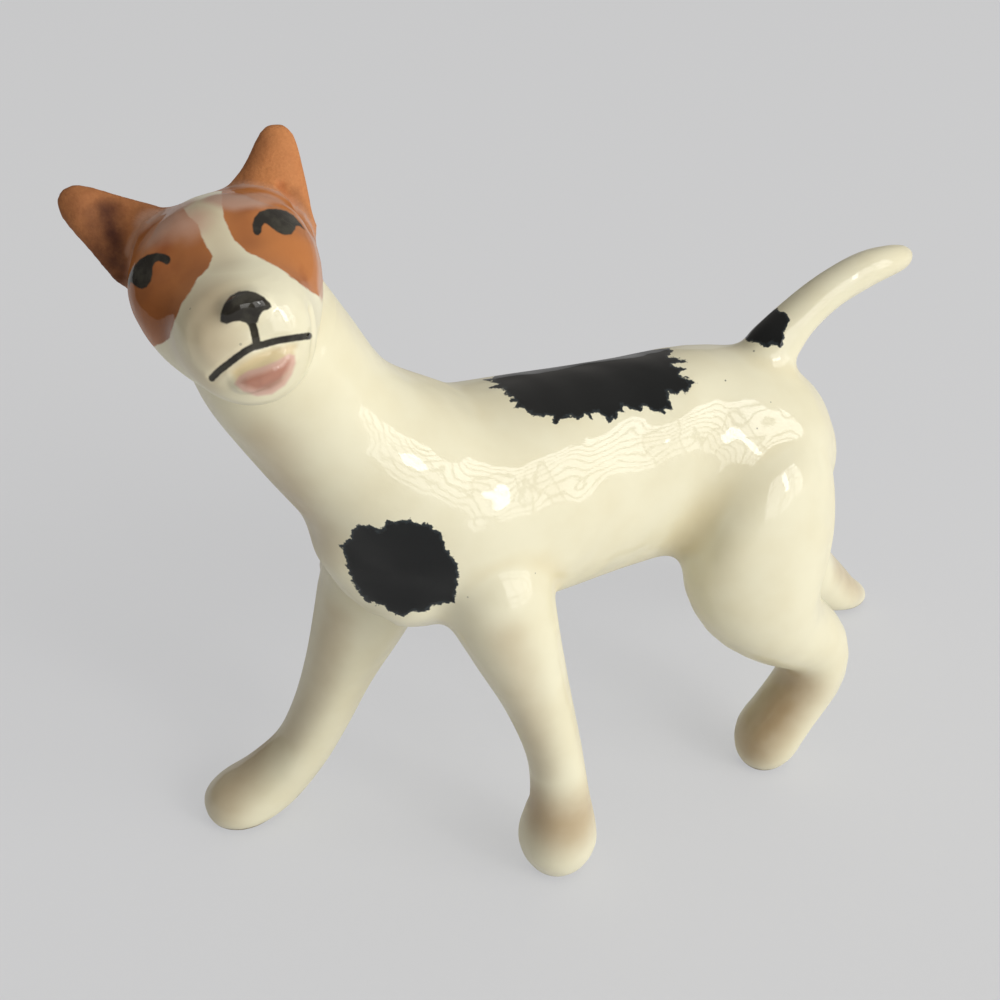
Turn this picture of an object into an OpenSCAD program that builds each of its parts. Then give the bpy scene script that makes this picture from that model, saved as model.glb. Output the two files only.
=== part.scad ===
// Walking terrier figurine in glazed earthenware.
// The figure is cast in parts, which are luted together with slip before the firing:
// a hollow body with its neck, a hollow head, two ears, four legs and a tail.
// The nose and the lower lip are sprigged on.
// The dog walks towards -X with its left side at -Y, and its soles stand on z = 0.

/* [Body] */
// Length from the chest to the rump
body_l = 82; // [74:1:90]
// Height of the withers above the ground
withers_h = 74.5; // [70:0.5:80]
// Height of the rump above the ground
rump_h = 68; // [64:0.5:72]
// Depth of the chest
chest_d = 35; // [32:0.5:38]
// Width of the chest
chest_w = 32; // [29:0.5:35]
// Depth of the loin
loin_d = 29; // [26:0.5:32]
// Width of the loin
loin_w = 25; // [23:0.5:27]
// Width of the rump
rump_w = 27; // [25:0.5:30]

/* [Neck] */
// Length of the neck from inside the chest to inside the skull
neck_l = 41; // [38:0.5:44]
// Slope of the neck above the horizontal
neck_rise = 55; // [51:1:59]
// Depth of the neck below the head
neck_d = 20; // [18:0.5:22]
// Width of the neck below the head
neck_w = 19.5; // [17.5:0.5:21.5]

/* [Head] */
// Length from the back of the skull to the front of the muzzle
head_l = 31; // [28:0.5:34]
// Width across the cheeks
skull_w = 22.4; // [20:0.2:25]
// Height from the crown to the chin
skull_h = 24; // [22:0.5:26]
// Width of the muzzle
muzzle_w = 15.8; // [14:0.2:17.6]
// Height of the muzzle
muzzle_h = 16; // [14.5:0.5:17.5]
// Turn of the head to the dog's left
head_turn = 77; // [70:1:84]
// Lift of the face above the horizontal
head_lift = 23; // [17:1:29]
// Lean of the head towards its right ear
head_tilt = 15; // [10:1:20]
// Width of the nose
nose_w = 5.6; // [4.8:0.1:6.4]
// Width of the lower lip
lip_w = 6.4; // [5.6:0.1:7.2]

/* [Ears] */
// Length of an ear from its root in the skull
ear_l = 13.8; // [12:0.2:15]
// Width of an ear at its root
ear_w = 10; // [9:0.25:11]
// Thickness of an ear at its root
ear_t = 5.6; // [5:0.2:6.4]
// Splay of the left ear from upright
left_ear_splay = 25; // [19:1:31]
// Splay of the right ear from upright
right_ear_splay = 35; // [29:1:41]

/* [Forelegs] */
// Distance between the left and right forefeet
fore_stance_w = 32; // [29:0.5:35]
// Step of the right forefoot ahead of the left one
fore_step = 40; // [36:0.5:43]
// Thickness of a foreleg above the paw
foreleg_d = 9; // [8:0.25:10]
// Thickness of a forepaw
forepaw_d = 11.6; // [10.5:0.1:12.5]

/* [Hind legs] */
// Distance between the left and right hind feet
hind_stance_w = 30; // [27:0.5:33]
// Step of the left hind foot ahead of the right one
hind_step = 38; // [34:0.5:42]
// Breadth of a thigh from front to back
thigh_d = 21; // [19:0.5:23]
// Thickness of a hind leg below the hock
shank_d = 11.4; // [10:0.2:12.6]

/* [Tail] */
// Length of the tail from its root in the rump
tail_l = 27.5; // [24:0.5:30]
// Thickness of the tail at its middle
tail_d = 5.7; // [5:0.1:6.6]
// Slope of the tail above the horizontal
tail_rise = 24; // [18:1:30]

/* [Casting] */
// Wall of the hollow castings
wall = 3.2; // [2.8:0.1:3.8]
// Diameter of the vent under the belly
vent_d = 3.5; // [3:0.1:4]

/* [Hidden] */

// Rings that round off an end of a casting
dome_rings = 4;

// A station along a casting is [x, y, z, half width, half depth above, half depth below].
// Between its stations a casting follows a smooth curve through them.
function blend(a, b, c, d, t) =
    b + ((c - a)*t + (2*a - 5*b + 4*c - d)*t*t + (3*b - a - 3*c + d)*t*t*t)/2;
function station(table, t) =
    let (n = len(table) - 1, i = max(0, min(floor(t*n), n - 1)))
    blend(table[max(i - 1, 0)], table[i], table[i + 1], table[min(i + 2, n)], t*n - i);
function place(s) = [s[0], s[1], s[2]];
function unit(v) = v/norm(v);

// The first and the last station are the tips of the rounded ends. A step is [place along the
// casting, share of the full section, share of the growth that goes lengthwise].
function steps(end, rings) = concat(
    [for (j = [1:dome_rings]) let (a = 90*j/(dome_rings + 1)) [end*(1 - cos(a)), sin(a), -cos(a)]],
    [for (j = [0:rings]) [end + (1 - 2*end)*j/rings, 1, 0]],
    [for (j = [dome_rings:-1:1]) let (a = 90*j/(dome_rings + 1))
        [1 - end*(1 - cos(a)), sin(a), cos(a)]]);

// The run is taken over this share of the casting each way, so that the rings turn evenly.
bend_share = 0.07;
function along(table, t) =
    unit(place(station(table, min(t + bend_share, 1))) - place(station(table, max(t - bend_share, 0))));

// One ring of points, square to the casting's run or to a run that is given
function ring(table, step, grow, facets, given_run) =
    let (
        s = station(table, step[0]),
        run = is_undef(given_run) ? along(table, step[0]) : given_run,
        side = unit([0, 1, 0] - run[1]*run),
        above = cross(side, run),
        centre = place(s) + run*step[2]*grow
    )
    [for (i = [0:facets - 1])
        let (a = 360*i/facets, depth = sin(a) > 0 ? s[4] : s[5])
        centre + (side*(s[3] + grow)*cos(a) + above*(depth + grow)*sin(a))*step[1]];

// A closed skin through a table of stations. "grow" sets it outwards, or inwards if negative.
module loft(table, rings, facets, grow = 0, given_run = undef) {
    rows = steps(1/(len(table) - 1), rings);
    n = len(rows);
    last = n*facets + 1;
    points = concat(
        [place(station(table, 0)) - along(table, 0)*grow],
        [for (row = rows) each ring(table, row, grow, facets, given_run)],
        [place(station(table, 1)) + along(table, 1)*grow]);
    polyhedron(points, concat(
        [for (i = [0:facets - 1]) [0, 1 + (i + 1)%facets, 1 + i]],
        [for (j = [0:n - 2], i = [0:facets - 1])
            let (a = 1 + j*facets + i, b = 1 + j*facets + (i + 1)%facets)
            each [[a, b, a + facets], [b, b + facets, a + facets]]],
        [for (i = [0:facets - 1]) [last, last - facets + i, last - facets + (i + 1)%facets]]));
}

// The body and the neck are one casting, from the rump to the top of the neck.
chest_z = withers_h - 0.44*chest_d;
neck_root = [-0.11*body_l, 0, chest_z];
neck_run = [-cos(neck_rise), 0, sin(neck_rise)];
throat_way = [-sin(neck_rise), 0, -cos(neck_rise)];
function on_neck(share, bow_share) = neck_root + neck_l*(share*neck_run + bow_share*throat_way);

body_table = [
    [0.63*body_l, 0, rump_h - 0.72*loin_d, 0.44*rump_w, 0.32*loin_d, 0.42*loin_d],
    [0.51*body_l, 0, rump_h - 0.54*loin_d, 0.50*rump_w, 0.47*loin_d, 0.48*loin_d],
    [0.38*body_l, 0, rump_h - 0.45*loin_d, 0.48*rump_w, 0.53*loin_d, 0.51*loin_d],
    [0.22*body_l, 0, rump_h - 0.43*loin_d, 0.50*loin_w, 0.55*loin_d, 0.53*loin_d],
    [0.06*body_l, 0, withers_h - 0.50*chest_d, 0.46*chest_w, 0.435*chest_d, 0.48*chest_d],
    concat(neck_root, [0.50*chest_w, 0.42*chest_d, 0.51*chest_d]),
    concat(on_neck(0.26, 0.055), [0.43*chest_w, 0.645*neck_d, 0.63*neck_d]),
    concat(on_neck(0.52, 0.060), [0.56*neck_w, 0.495*neck_d, 0.56*neck_d]),
    concat(on_neck(0.78, 0.020), [0.50*neck_w, 0.46*neck_d, 0.57*neck_d]),
    concat(on_neck(1.00, 0), [0.46*neck_w, 0.46*neck_d, 0.48*neck_d]),
    concat(on_neck(1.20, 0), [0.42*neck_w, 0.42*neck_d, 0.42*neck_d])];

module body_form() loft(body_table, 30, 32);
module body_core() loft(body_table, 16, 16, -wall);

// The head has its own frame: the nose points to -X and the left cheek to -Y, and then the
// head is leaned, lifted and turned on the neck.
head_place = on_neck(1, 0) + [-0.067*head_l, -0.025*head_l, 0.32*skull_h];
module in_head_frame() translate(head_place) rotate([0, 0, head_turn]) rotate([0, head_lift, 0])
    rotate([-head_tilt, 0, 0]) children();

head_table = [
    [0.39*head_l, 0, -0.13*skull_h, 0.43*skull_w, 0.35*skull_h, 0.36*skull_h],
    [0.15*head_l, 0, -0.10*skull_h, 0.48*skull_w, 0.355*skull_h, 0.42*skull_h],
    [-0.06*head_l, 0.01*head_l, -0.105*skull_h, 0.49*skull_w, 0.36*skull_h, 0.47*skull_h],
    [-0.26*head_l, 0.02*head_l, -0.165*skull_h, 0.465*skull_w, 0.35*skull_h, 0.49*skull_h],
    [-0.42*head_l, 0.02*head_l, -0.325*skull_h, 0.50*muzzle_w, 0.41*muzzle_h, 0.60*muzzle_h],
    [-0.61*head_l, 0.02*head_l, -0.37*skull_h, 0.52*muzzle_w, 0.36*muzzle_h, 0.50*muzzle_h]];

module head_form() in_head_frame() loft(head_table, 20, 28, given_run = [-1, 0, 0]);
module head_core() in_head_frame() loft(head_table, 9, 14, -wall, [-1, 0, 0]);

// An ear is [place along it, share of its width, share of its thickness] at each station. Its
// inner edge spreads onto the skull by the spread, a share of its width.
ear_shares = [[0, 1.2, 1.1], [0.25, 1.02, 1], [0.5, 0.79, 0.8], [0.76, 0.57, 0.6], [1, 0.44, 0.42]];
spread_shares = [1.3, 1, 0.3, 0, 0];
function ear_table(side, splay, set_share, spread) =
    let (
        root = [0.06*head_l, side*0.275*skull_w, set_share*skull_h],
        run = [0.15, side*sin(splay), cos(splay)]
    )
    [for (i = [0:len(ear_shares) - 1]) let (s = ear_shares[i], inner = spread*spread_shares[i])
        concat(root + s[0]*ear_l*run - [0, side*inner*ear_w/2, 0],
            [(s[1] + inner)*ear_w, s[2]*ear_t, s[2]*ear_t]/2)];
module ear(side, splay, set_share, spread) color("peru") difference() {
    in_head_frame() loft(ear_table(side, splay, set_share, spread), 12, 18);
    head_form();
}

// A sprig is a small pad laid across the face: [place across, share of height and depth].
sprig_shares = [[-0.5, 0.7], [-0.25, 0.95], [0, 1], [0.25, 0.95], [0.5, 0.7]];
module sprig(centre, width, height, depth) in_head_frame() translate(centre) rotate([0, 0, 90])
    loft([for (s = sprig_shares) concat([s[0]*width, 0, 0], [depth, height, height]*s[1]/2)], 4, 12);

// A leg runs from its root in the body to its foot. Each station is [share of the way to the
// foot, share of the stance, share of the root's height, then the shares of its thickness].
// The stations of the foot have a table and a thickness of their own.
function leg_table(root, foot, thick, leg_shares) = [
    for (s = leg_shares) [
        root[0] + s[0]*(foot[0] - root[0]),
        root[1] + s[1]*(foot[1] - root[1]),
        s[2]*root[2],
        s[3]*thick, s[4]*thick, s[5]*thick]];

shoulder = [-0.10*body_l, 0, withers_h - 0.60*chest_d];
hip = [0.45*body_l, 0, rump_h - 0.45*loin_d];
left_forefoot = [-0.01*fore_step, -fore_stance_w/2];
right_forefoot = left_forefoot + [-fore_step, fore_stance_w];
left_hindfoot = [0.50*body_l, -hind_stance_w/2];
right_hindfoot = left_hindfoot + [hind_step, hind_stance_w];

left_foreleg_shares = [
    [0.05, 0.50, 1.06, 0.9, 0.82, 0.9],
    [0.20, 0.70, 0.92, 0.9, 0.82, 0.92],
    [0.36, 0.90, 0.78, 0.72, 0.64, 0.77],
    [0.66, 1.02, 0.62, 0.55, 0.50, 0.57],
    [0.98, 1.08, 0.44, 0.46, 0.47, 0.42],
    [1.08, 1.12, 0.29, 0.49, 0.53, 0.42]];
left_forepaw_shares = [
    [1.06, 1.10, 0.19, 0.49, 0.46, 0.43],
    [1.03, 1.07, 0.11, 0.52, 0.51, 0.49],
    [1.03, 1.06, -0.01, 0.43, 0.43, 0.43]];
right_foreleg_shares = [
    [0.05, 0.40, 1.05, 0.90, 0.98, 0.90],
    [0.18, 0.55, 0.86, 0.90, 1.05, 0.92],
    [0.30, 0.68, 0.66, 0.80, 0.81, 0.80],
    [0.43, 0.76, 0.47, 0.60, 0.59, 0.62],
    [0.54, 0.80, 0.32, 0.52, 0.50, 0.54],
    [0.66, 0.84, 0.20, 0.51, 0.46, 0.53]];
right_forepaw_shares = [
    [0.82, 0.88, 0.115, 0.465, 0.345, 0.465],
    [0.97, 0.92, 0.07, 0.495, 0.33, 0.465],
    [1.14, 0.96, 0.04, 0.435, 0.35, 0.39]];
left_hindleg_shares = [
    [0.20, 0.50, 1.08, 0.30, 0.4, 0.4],
    [0.10, 0.62, 0.98, 0.34, 0.46, 0.52],
    [-0.20, 0.74, 0.86, 0.37, 0.54, 0.575],
    [-0.40, 0.82, 0.73, 0.38, 0.56, 0.54],
    [-0.15, 0.86, 0.62, 0.36, 0.45, 0.45],
    [0.80, 0.87, 0.51, 0.31, 0.32, 0.34]];
left_shank_shares = [
    [2.15, 0.86, 0.41, 0.50, 0.46, 0.515],
    [2.38, 0.85, 0.30, 0.46, 0.45, 0.44],
    [1.40, 0.82, 0.18, 0.45, 0.43, 0.45],
    [0.75, 0.79, 0.10, 0.47, 0.45, 0.48],
    [0.35, 0.76, -0.01, 0.43, 0.41, 0.46]];
right_hindleg_shares = [
    [0.00, 0.45, 1.08, 0.34, 0.42, 0.42],
    [0.06, 0.54, 0.95, 0.36, 0.50, 0.50],
    [0.22, 0.68, 0.72, 0.36, 0.45, 0.45],
    [0.42, 0.83, 0.48, 0.31, 0.36, 0.36]];
right_shank_shares = [
    [0.62, 0.94, 0.27, 0.46, 0.495, 0.495],
    [0.80, 1.05, 0.12, 0.405, 0.405, 0.405],
    [0.92, 1.09, 0.05, 0.32, 0.275, 0.275],
    [1.02, 1.12, 0.015, 0.23, 0.20, 0.20]];

module leg(root, foot, thick, leg_shares, foot_thick, foot_shares) color("ivory") difference() {
    loft(concat(leg_table(root, foot, thick, leg_shares), leg_table(root, foot, foot_thick, foot_shares)),
        22, 20);
    body_form();
    translate([-2*body_l, -body_l, -body_l]) cube([4*body_l, 2*body_l, body_l]);
}

// The tail rises from the rump in a shallow bow. Each station is [share of the length, bow, half
// width, half depth below, half depth above].
tail_shares = [
    [-0.15, -0.10, 0.75, 0.60, 1.00],
    [0.10, 0.01, 0.66, 0.52, 0.84],
    [0.27, 0.085, 0.55, 0.49, 0.60],
    [0.48, 0.12, 0.49, 0.48, 0.50],
    [0.72, 0.10, 0.47, 0.48, 0.46],
    [0.90, 0.04, 0.37, 0.38, 0.37],
    [1.00, 0, 0.28, 0.28, 0.28]];
tail_root = [0.51*body_l, 0, rump_h - 0.05*loin_d];
tail_run = [cos(tail_rise), 0, sin(tail_rise)];
tail_bow = [-sin(tail_rise), 0, cos(tail_rise)];
tail_table = [for (s = tail_shares)
    concat(tail_root + tail_l*(s[0]*tail_run + s[1]*tail_bow), [s[2], s[3], s[4]]*tail_d)];

// The vent leads from the middle of the hollow straight down through the belly.
vent_share = 0.3;
module vent() {
    seat = station(body_table, vent_share);
    run = along(body_table, vent_share);
    translate(place(seat)) rotate([0, atan2(-run[2], run[0]), 0])
        cylinder(d = vent_d, h = 1.5*seat[5], $fn = 24);
}

module body() color("ivory") difference() {
    body_form();
    body_core();
    head_core();
    vent();
}
module head() color("ivory") difference() {
    head_form();
    head_core();
    body_form();
}
module nose() color("black") difference() {
    sprig([-0.575*head_l, 0, -0.27*skull_h], nose_w, 0.58*nose_w, 0.7*nose_w);
    head_form();
}
module lower_lip() color("rosybrown") difference() {
    sprig([-0.545*head_l, 0.12*lip_w, -0.56*skull_h], lip_w, 0.62*lip_w, 0.6*lip_w);
    head_form();
}
module ear_left() ear(-1, left_ear_splay, -0.07, 0.22);
module ear_right() ear(1, right_ear_splay, 0.04, 0);
module foreleg_left()
    leg(shoulder, left_forefoot, foreleg_d, left_foreleg_shares, forepaw_d, left_forepaw_shares);
module foreleg_right()
    leg(shoulder, right_forefoot, foreleg_d, right_foreleg_shares, forepaw_d, right_forepaw_shares);
module hindleg_left()
    leg(hip, left_hindfoot, thigh_d, left_hindleg_shares, shank_d, left_shank_shares);
module hindleg_right()
    leg(hip, right_hindfoot, thigh_d, right_hindleg_shares, shank_d, right_shank_shares);
module tail() color("ivory") difference() {
    loft(tail_table, 14, 16);
    body_form();
}

// The origin lies under the middle of the figure.
module on_the_origin() translate([-0.179*body_l, 0.05*fore_stance_w, 0]) children();

on_the_origin() body();
on_the_origin() head();
on_the_origin() nose();
on_the_origin() lower_lip();
on_the_origin() ear_left();
on_the_origin() ear_right();
on_the_origin() foreleg_left();
on_the_origin() foreleg_right();
on_the_origin() hindleg_left();
on_the_origin() hindleg_right();
on_the_origin() tail();
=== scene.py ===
"""A walking terrier in glazed earthenware: one skin over the luted castings, painted and glazed."""
from math import cos, radians, sin

import bpy
import numpy as np
from mathutils import Matrix, Vector
from mathutils.bvhtree import BVHTree


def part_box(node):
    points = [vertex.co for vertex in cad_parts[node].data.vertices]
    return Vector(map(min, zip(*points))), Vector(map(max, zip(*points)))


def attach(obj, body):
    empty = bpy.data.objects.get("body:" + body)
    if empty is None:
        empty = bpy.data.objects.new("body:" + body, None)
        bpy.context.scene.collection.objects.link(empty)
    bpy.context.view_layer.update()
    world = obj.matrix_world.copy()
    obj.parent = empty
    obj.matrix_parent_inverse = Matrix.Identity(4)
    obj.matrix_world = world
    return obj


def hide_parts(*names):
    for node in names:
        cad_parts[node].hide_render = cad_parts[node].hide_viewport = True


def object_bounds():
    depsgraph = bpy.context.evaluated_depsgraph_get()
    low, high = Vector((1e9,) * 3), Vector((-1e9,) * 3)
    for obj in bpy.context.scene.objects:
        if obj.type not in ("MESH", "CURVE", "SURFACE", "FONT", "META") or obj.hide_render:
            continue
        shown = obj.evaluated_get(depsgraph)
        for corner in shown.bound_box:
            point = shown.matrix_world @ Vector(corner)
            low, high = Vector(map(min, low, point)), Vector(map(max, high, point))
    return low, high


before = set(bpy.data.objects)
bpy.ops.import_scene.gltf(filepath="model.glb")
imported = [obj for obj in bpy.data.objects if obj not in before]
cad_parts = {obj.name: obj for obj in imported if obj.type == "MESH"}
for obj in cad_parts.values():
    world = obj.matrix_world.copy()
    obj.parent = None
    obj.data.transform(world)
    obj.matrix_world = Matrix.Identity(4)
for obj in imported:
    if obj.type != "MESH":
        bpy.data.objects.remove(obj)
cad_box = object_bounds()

MM = 0.001

# Camera, in degrees and millimetres. Azimuth 0 looks along +Y.
CAMERA_AZIMUTH = -24
CAMERA_HEIGHT = 33
CAMERA_ROLL = -2
CAMERA_DISTANCE = 210
CAMERA_AIM = np.array([-14.68, 1.6, 55.15])
PICTURE_PX = 1000
FOCAL_PX = 1512
SENSOR_MM = 36

# The castings and sprigs that the skin covers, each with the name of the slot for its finish
SLOTS = {
    "body": "cream_glaze", "head": "cream_glaze", "nose": "black_glaze", "lower_lip": "pink_glaze",
    "ear_left": "brown_glaze", "ear_right": "brown_glaze", "foreleg_left": "cream_glaze",
    "foreleg_right": "cream_glaze", "hindleg_left": "cream_glaze", "hindleg_right": "cream_glaze",
    "tail": "cream_glaze"}

# The middle plane of the body, and the vent under the belly with the plug that closes it for the skin
MIDDLE_Y = 1.6
VENT_X = 3.4
VENT_Z = 42.5
VENT_R = 1.9
VENT_LIP = 0.5
VENT_SINK = 2.2
PLUG_R = 2.6
PLUG_H = 4.5

turn = Matrix.Rotation(radians(CAMERA_AZIMUTH), 3, "Z") @ Matrix.Rotation(
    radians(90 - CAMERA_HEIGHT), 3, "X") @ Matrix.Rotation(radians(CAMERA_ROLL), 3, "Z")
camera_right, camera_up, camera_back = (np.array(turn.col[i]) for i in range(3))
camera_place = CAMERA_AIM + CAMERA_DISTANCE * camera_back


def set_camera():
    """The camera that the picture was taken with."""
    data = bpy.data.cameras.new("camera")
    data.sensor_width = SENSOR_MM
    data.lens = SENSOR_MM * FOCAL_PX / PICTURE_PX
    data.clip_start = 0.01
    camera = bpy.data.objects.new("camera", data)
    camera.matrix_world = Matrix.Translation(Vector(camera_place) * MM) @ turn.to_4x4()
    bpy.context.scene.collection.objects.link(camera)
    bpy.context.scene.camera = camera


def in_picture(points):
    """The picture places, in pixels, of points in millimetres, and their depths."""
    away = points - camera_place
    depth = -away @ camera_back
    half = PICTURE_PX / 2
    across = half + FOCAL_PX * (away @ camera_right) / depth
    down = half - FOCAL_PX * (away @ camera_up) / depth
    return np.stack([across, down], 1), depth


def select_only(*objects):
    """Selects these objects alone, the first one active."""
    bpy.ops.object.select_all(action="DESELECT")
    for one in objects:
        one.select_set(True)
    bpy.context.view_layer.objects.active = objects[0]


def apply_modifier(piece, kind, **settings):
    """Adds a modifier to a piece and applies it."""
    select_only(piece)
    modifier = piece.modifiers.new(kind.lower(), kind)
    for name, value in settings.items():
        setattr(modifier, name, value)
    bpy.ops.object.modifier_apply(modifier=modifier.name)


def merged_copy(node):
    """A copy of a CAD node with its loose triangles joined."""
    node_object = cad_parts[node]
    copy = node_object.copy()
    copy.data = node_object.data.copy()
    copy.parent = None
    for key in list(copy.keys()):
        del copy[key]
    bpy.context.scene.collection.objects.link(copy)
    select_only(copy)
    bpy.ops.object.mode_set(mode="EDIT")
    bpy.ops.mesh.select_all(action="SELECT")
    bpy.ops.mesh.remove_doubles(threshold=0.001 * MM)
    bpy.ops.object.mode_set(mode="OBJECT")
    return copy


# The skin's grain and the radius of the slip in its creases, in millimetres
VOXEL = 0.435
SLIP_FILLET = 1.3


def luted_figure():
    """All the castings run together, with the slip that fills the creases between them."""
    copies = [merged_copy(node) for node in SLOTS]
    trees = {node: BVHTree.FromPolygons([v.co / MM for v in copy.data.vertices],
                                        [p.vertices for p in copy.data.polygons])
             for node, copy in zip(SLOTS, copies)}
    bpy.ops.mesh.primitive_cylinder_add(radius=PLUG_R * MM, depth=PLUG_H * MM,
                                        location=(VENT_X * MM, MIDDLE_Y * MM, VENT_Z * MM))
    copies.append(bpy.context.object)
    select_only(*copies)
    bpy.ops.object.join()
    figure = bpy.context.object
    apply_modifier(figure, "REMESH", mode="VOXEL", voxel_size=VOXEL * MM)
    apply_modifier(figure, "DISPLACE", strength=SLIP_FILLET * MM, mid_level=0)
    apply_modifier(figure, "REMESH", mode="VOXEL", voxel_size=VOXEL * MM)
    apply_modifier(figure, "DISPLACE", strength=-SLIP_FILLET * MM, mid_level=0)
    apply_modifier(figure, "REMESH", mode="VOXEL", voxel_size=VOXEL * MM)
    return figure, trees


def mesh_arrays(figure):
    """Points in millimetres, quads, and the edges of a mesh made of quads."""
    mesh = figure.data
    points = np.empty(len(mesh.vertices) * 3)
    mesh.vertices.foreach_get("co", points)
    corners = np.empty(len(mesh.loops), int)
    mesh.loops.foreach_get("vertex_index", corners)
    return points.reshape(-1, 3) / MM, corners.reshape(-1, 4)


def edges_of(quads):
    """Pairs of points that share a side of a quad."""
    sides = np.concatenate([quads[:, [i, (i + 1) % 4]] for i in range(4)])
    return np.unique(np.sort(sides, 1), axis=0)


def neighbourhood(quads, size):
    """The edges of a mesh, and how many of them meet at each point."""
    edges = edges_of(quads)
    return edges, np.maximum(np.bincount(edges.ravel(), minlength=size), 1)


def neighbour_mean(values, edges, count):
    """The mean of each point's neighbours, for values with one or more columns."""
    a, b = edges.T
    size = len(values)
    total = np.stack([np.bincount(a, column[b], size) + np.bincount(b, column[a], size)
                      for column in values.T], 1)
    return total / count[:, None]


def smooth(points, quads, rounds, strength=0.5, keep=0.53, held=None):
    """Evens out facets and voxel steps without shrinking the form."""
    edges, count = neighbourhood(quads, len(points))
    free = 1.0 if held is None else (~held)[:, None]
    for _ in range(rounds):
        for step in (strength, -keep):
            points = points + free * step * (neighbour_mean(points, edges, count) - points)
    return points


def normals_of(points, quads):
    """Unit normals at the points, weighted by area."""
    across = np.cross(points[quads[:, 2]] - points[quads[:, 0]], points[quads[:, 3]] - points[quads[:, 1]])
    total = np.stack([sum(np.bincount(quads[:, i], across[:, k], len(points)) for i in range(4))
                      for k in range(3)], 1)
    return total / np.maximum(np.linalg.norm(total, axis=1), 1e-9)[:, None]


def refined(points, quads, fine):
    """Cuts each chosen quad into four. The other quads stay as they are."""
    chosen = quads[fine]
    sides = np.concatenate([np.sort(chosen[:, [i, (i + 1) % 4]], 1) for i in range(4)])
    edges, index = np.unique(sides, axis=0, return_inverse=True)
    middle = (len(points) + index).reshape(4, -1).T
    centre = len(points) + len(edges) + np.arange(len(chosen))
    small = np.concatenate([
        np.stack([chosen[:, i], middle[:, i], centre, middle[:, i - 1]], 1) for i in range(4)])
    added = np.concatenate([points[edges].mean(1), points[chosen].mean(1)])
    return np.concatenate([points, added]), np.concatenate([quads[~fine], small]), edges


def line_distance(places, line):
    """The distance from each place to a line through points, in two or three dimensions."""
    line = np.asarray(line, float)
    best = np.full(len(places), 1e9)
    for start, end in zip(line[:-1], line[1:]):
        run = end - start
        share = np.clip((places - start) @ run / (run @ run), 0, 1)
        best = np.minimum(best, np.linalg.norm(places - start - share[:, None] * run, axis=1))
    return best


def curved(points, steps=6):
    """A smooth line through points, with a few steps between each pair."""
    points = np.asarray(points, float)
    if len(points) < 3:
        return points
    padded = np.concatenate([2 * points[:1] - points[1:2], points, 2 * points[-1:] - points[-2:-1]])
    share = np.arange(steps)[:, None] / steps
    line = []
    for a, b, c, d in zip(padded, padded[1:], padded[2:], padded[3:]):
        line.append(b + ((c - a) * share + (2 * a - 5 * b + 4 * c - d) * share ** 2
                         + (3 * b - a - 3 * c + d) * share ** 3) / 2)
    return np.concatenate(line + [points[-1:]])


def inside_distance(places, outline):
    """The distance to an outline in the picture, positive inside it."""
    outline = np.asarray(outline, float)
    away = line_distance(places, np.concatenate([outline, outline[:1]]))
    inside = np.zeros(len(places), bool)
    x, y = places.T
    for (ax, ay), (bx, by) in zip(outline, np.roll(outline, -1, 0)):
        crosses = (ay > y) != (by > y)
        if ay != by:
            inside ^= crosses & (x < ax + (y - ay) * (bx - ax) / (by - ay))
    return np.where(inside, away, -away)


def falloff(distance, reach):
    """A soft bump: 1 at no distance and 0 from the reach on."""
    return (1 - np.clip(distance / reach, 0, 1) ** 2) ** 2


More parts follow.
